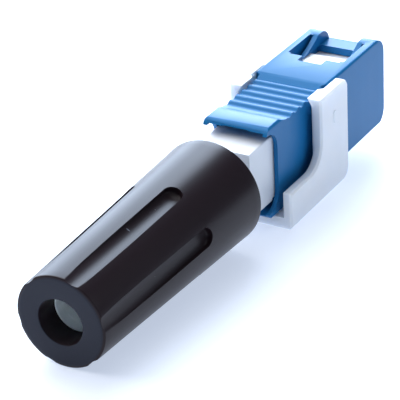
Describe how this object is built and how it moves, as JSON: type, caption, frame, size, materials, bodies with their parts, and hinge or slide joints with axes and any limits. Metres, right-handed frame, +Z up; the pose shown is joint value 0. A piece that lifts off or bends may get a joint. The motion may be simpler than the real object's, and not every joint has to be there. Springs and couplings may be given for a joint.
{
  "type": "fibre connector",
  "caption": "SC fibre connector for fitting on site: push-pull housing, U-shaped clip that holds the splice open, and a fluted tail nut with an open cable hole.",
  "frame": {"origin": "middle of the length and width, on the surface that the clip's base stands on", "axes": "+X along the connector's axis towards the ferrule's tip, +Z up from the clip's base, +Y towards the housing's key"},
  "size_m": [0.0524, 0.01, 0.0106],
  "materials": {
    "housing_blue": "satin",
    "body_white": "satin",
    "clip_white": "satin",
    "nut_black": "gloss",
    "collet_pale": "matte",
    "ceramic": "polished",
    "steel": "brushed",
    "splice_polymer": "satin",
    "fibre_glass": "clear"
  },
  "bodies": {
    "clip": {"wedge_clip": "clip_white"},
    "connector": {"plug_frame": "body_white", "main_body": "body_white", "fibre_guide": "splice_polymer", "ferrule_spring": "steel"},
    "housing": {"outer_housing": "housing_blue"},
    "ferrule_unit": {"ferrule": "ceramic", "ferrule_flange": "steel", "fibre_stub": "fibre_glass", "splice_base": "splice_polymer", "splice_lid_front": "splice_polymer", "splice_lid_rear": "splice_polymer", "splice_clamp_front": "steel", "splice_clamp_rear": "steel"},
    "clamp": {"cable_clamp": "collet_pale"},
    "nut": {"tail_nut": "nut_black"}
  },
  "joints": [
    {"name": "clip_release", "type": "slide", "parent": "clip", "child": "connector", "axis": [0, 0, 1], "range_m": [0, 0.012]},
    {"name": "housing_slide", "type": "slide", "parent": "connector", "child": "housing", "axis": [1, 0, 0], "range_m": [-0.0009, 0]},
    {"name": "ferrule_float", "type": "slide", "parent": "connector", "child": "ferrule_unit", "axis": [1, 0, 0], "range_m": [-0.001, 0], "stiffness_N_per_m": 100, "springref_m": 0.0003, "deforming": ["ferrule_spring"]},
    {"name": "clamp_slide", "type": "slide", "parent": "connector", "child": "clamp", "axis": [1, 0, 0], "range_m": [-0.004, 0]},
    {"name": "nut_turn", "type": "hinge", "parent": "clamp", "child": "nut", "pos_m": [-0.01, 0, 0.00565], "axis": [1, 0, 0], "range_deg": [-1440, 0]}
  ],
  "couplings": [
    {"joint": "nut_turn", "follows": "clamp_slide", "rad_per_m": 6283}
  ]
}
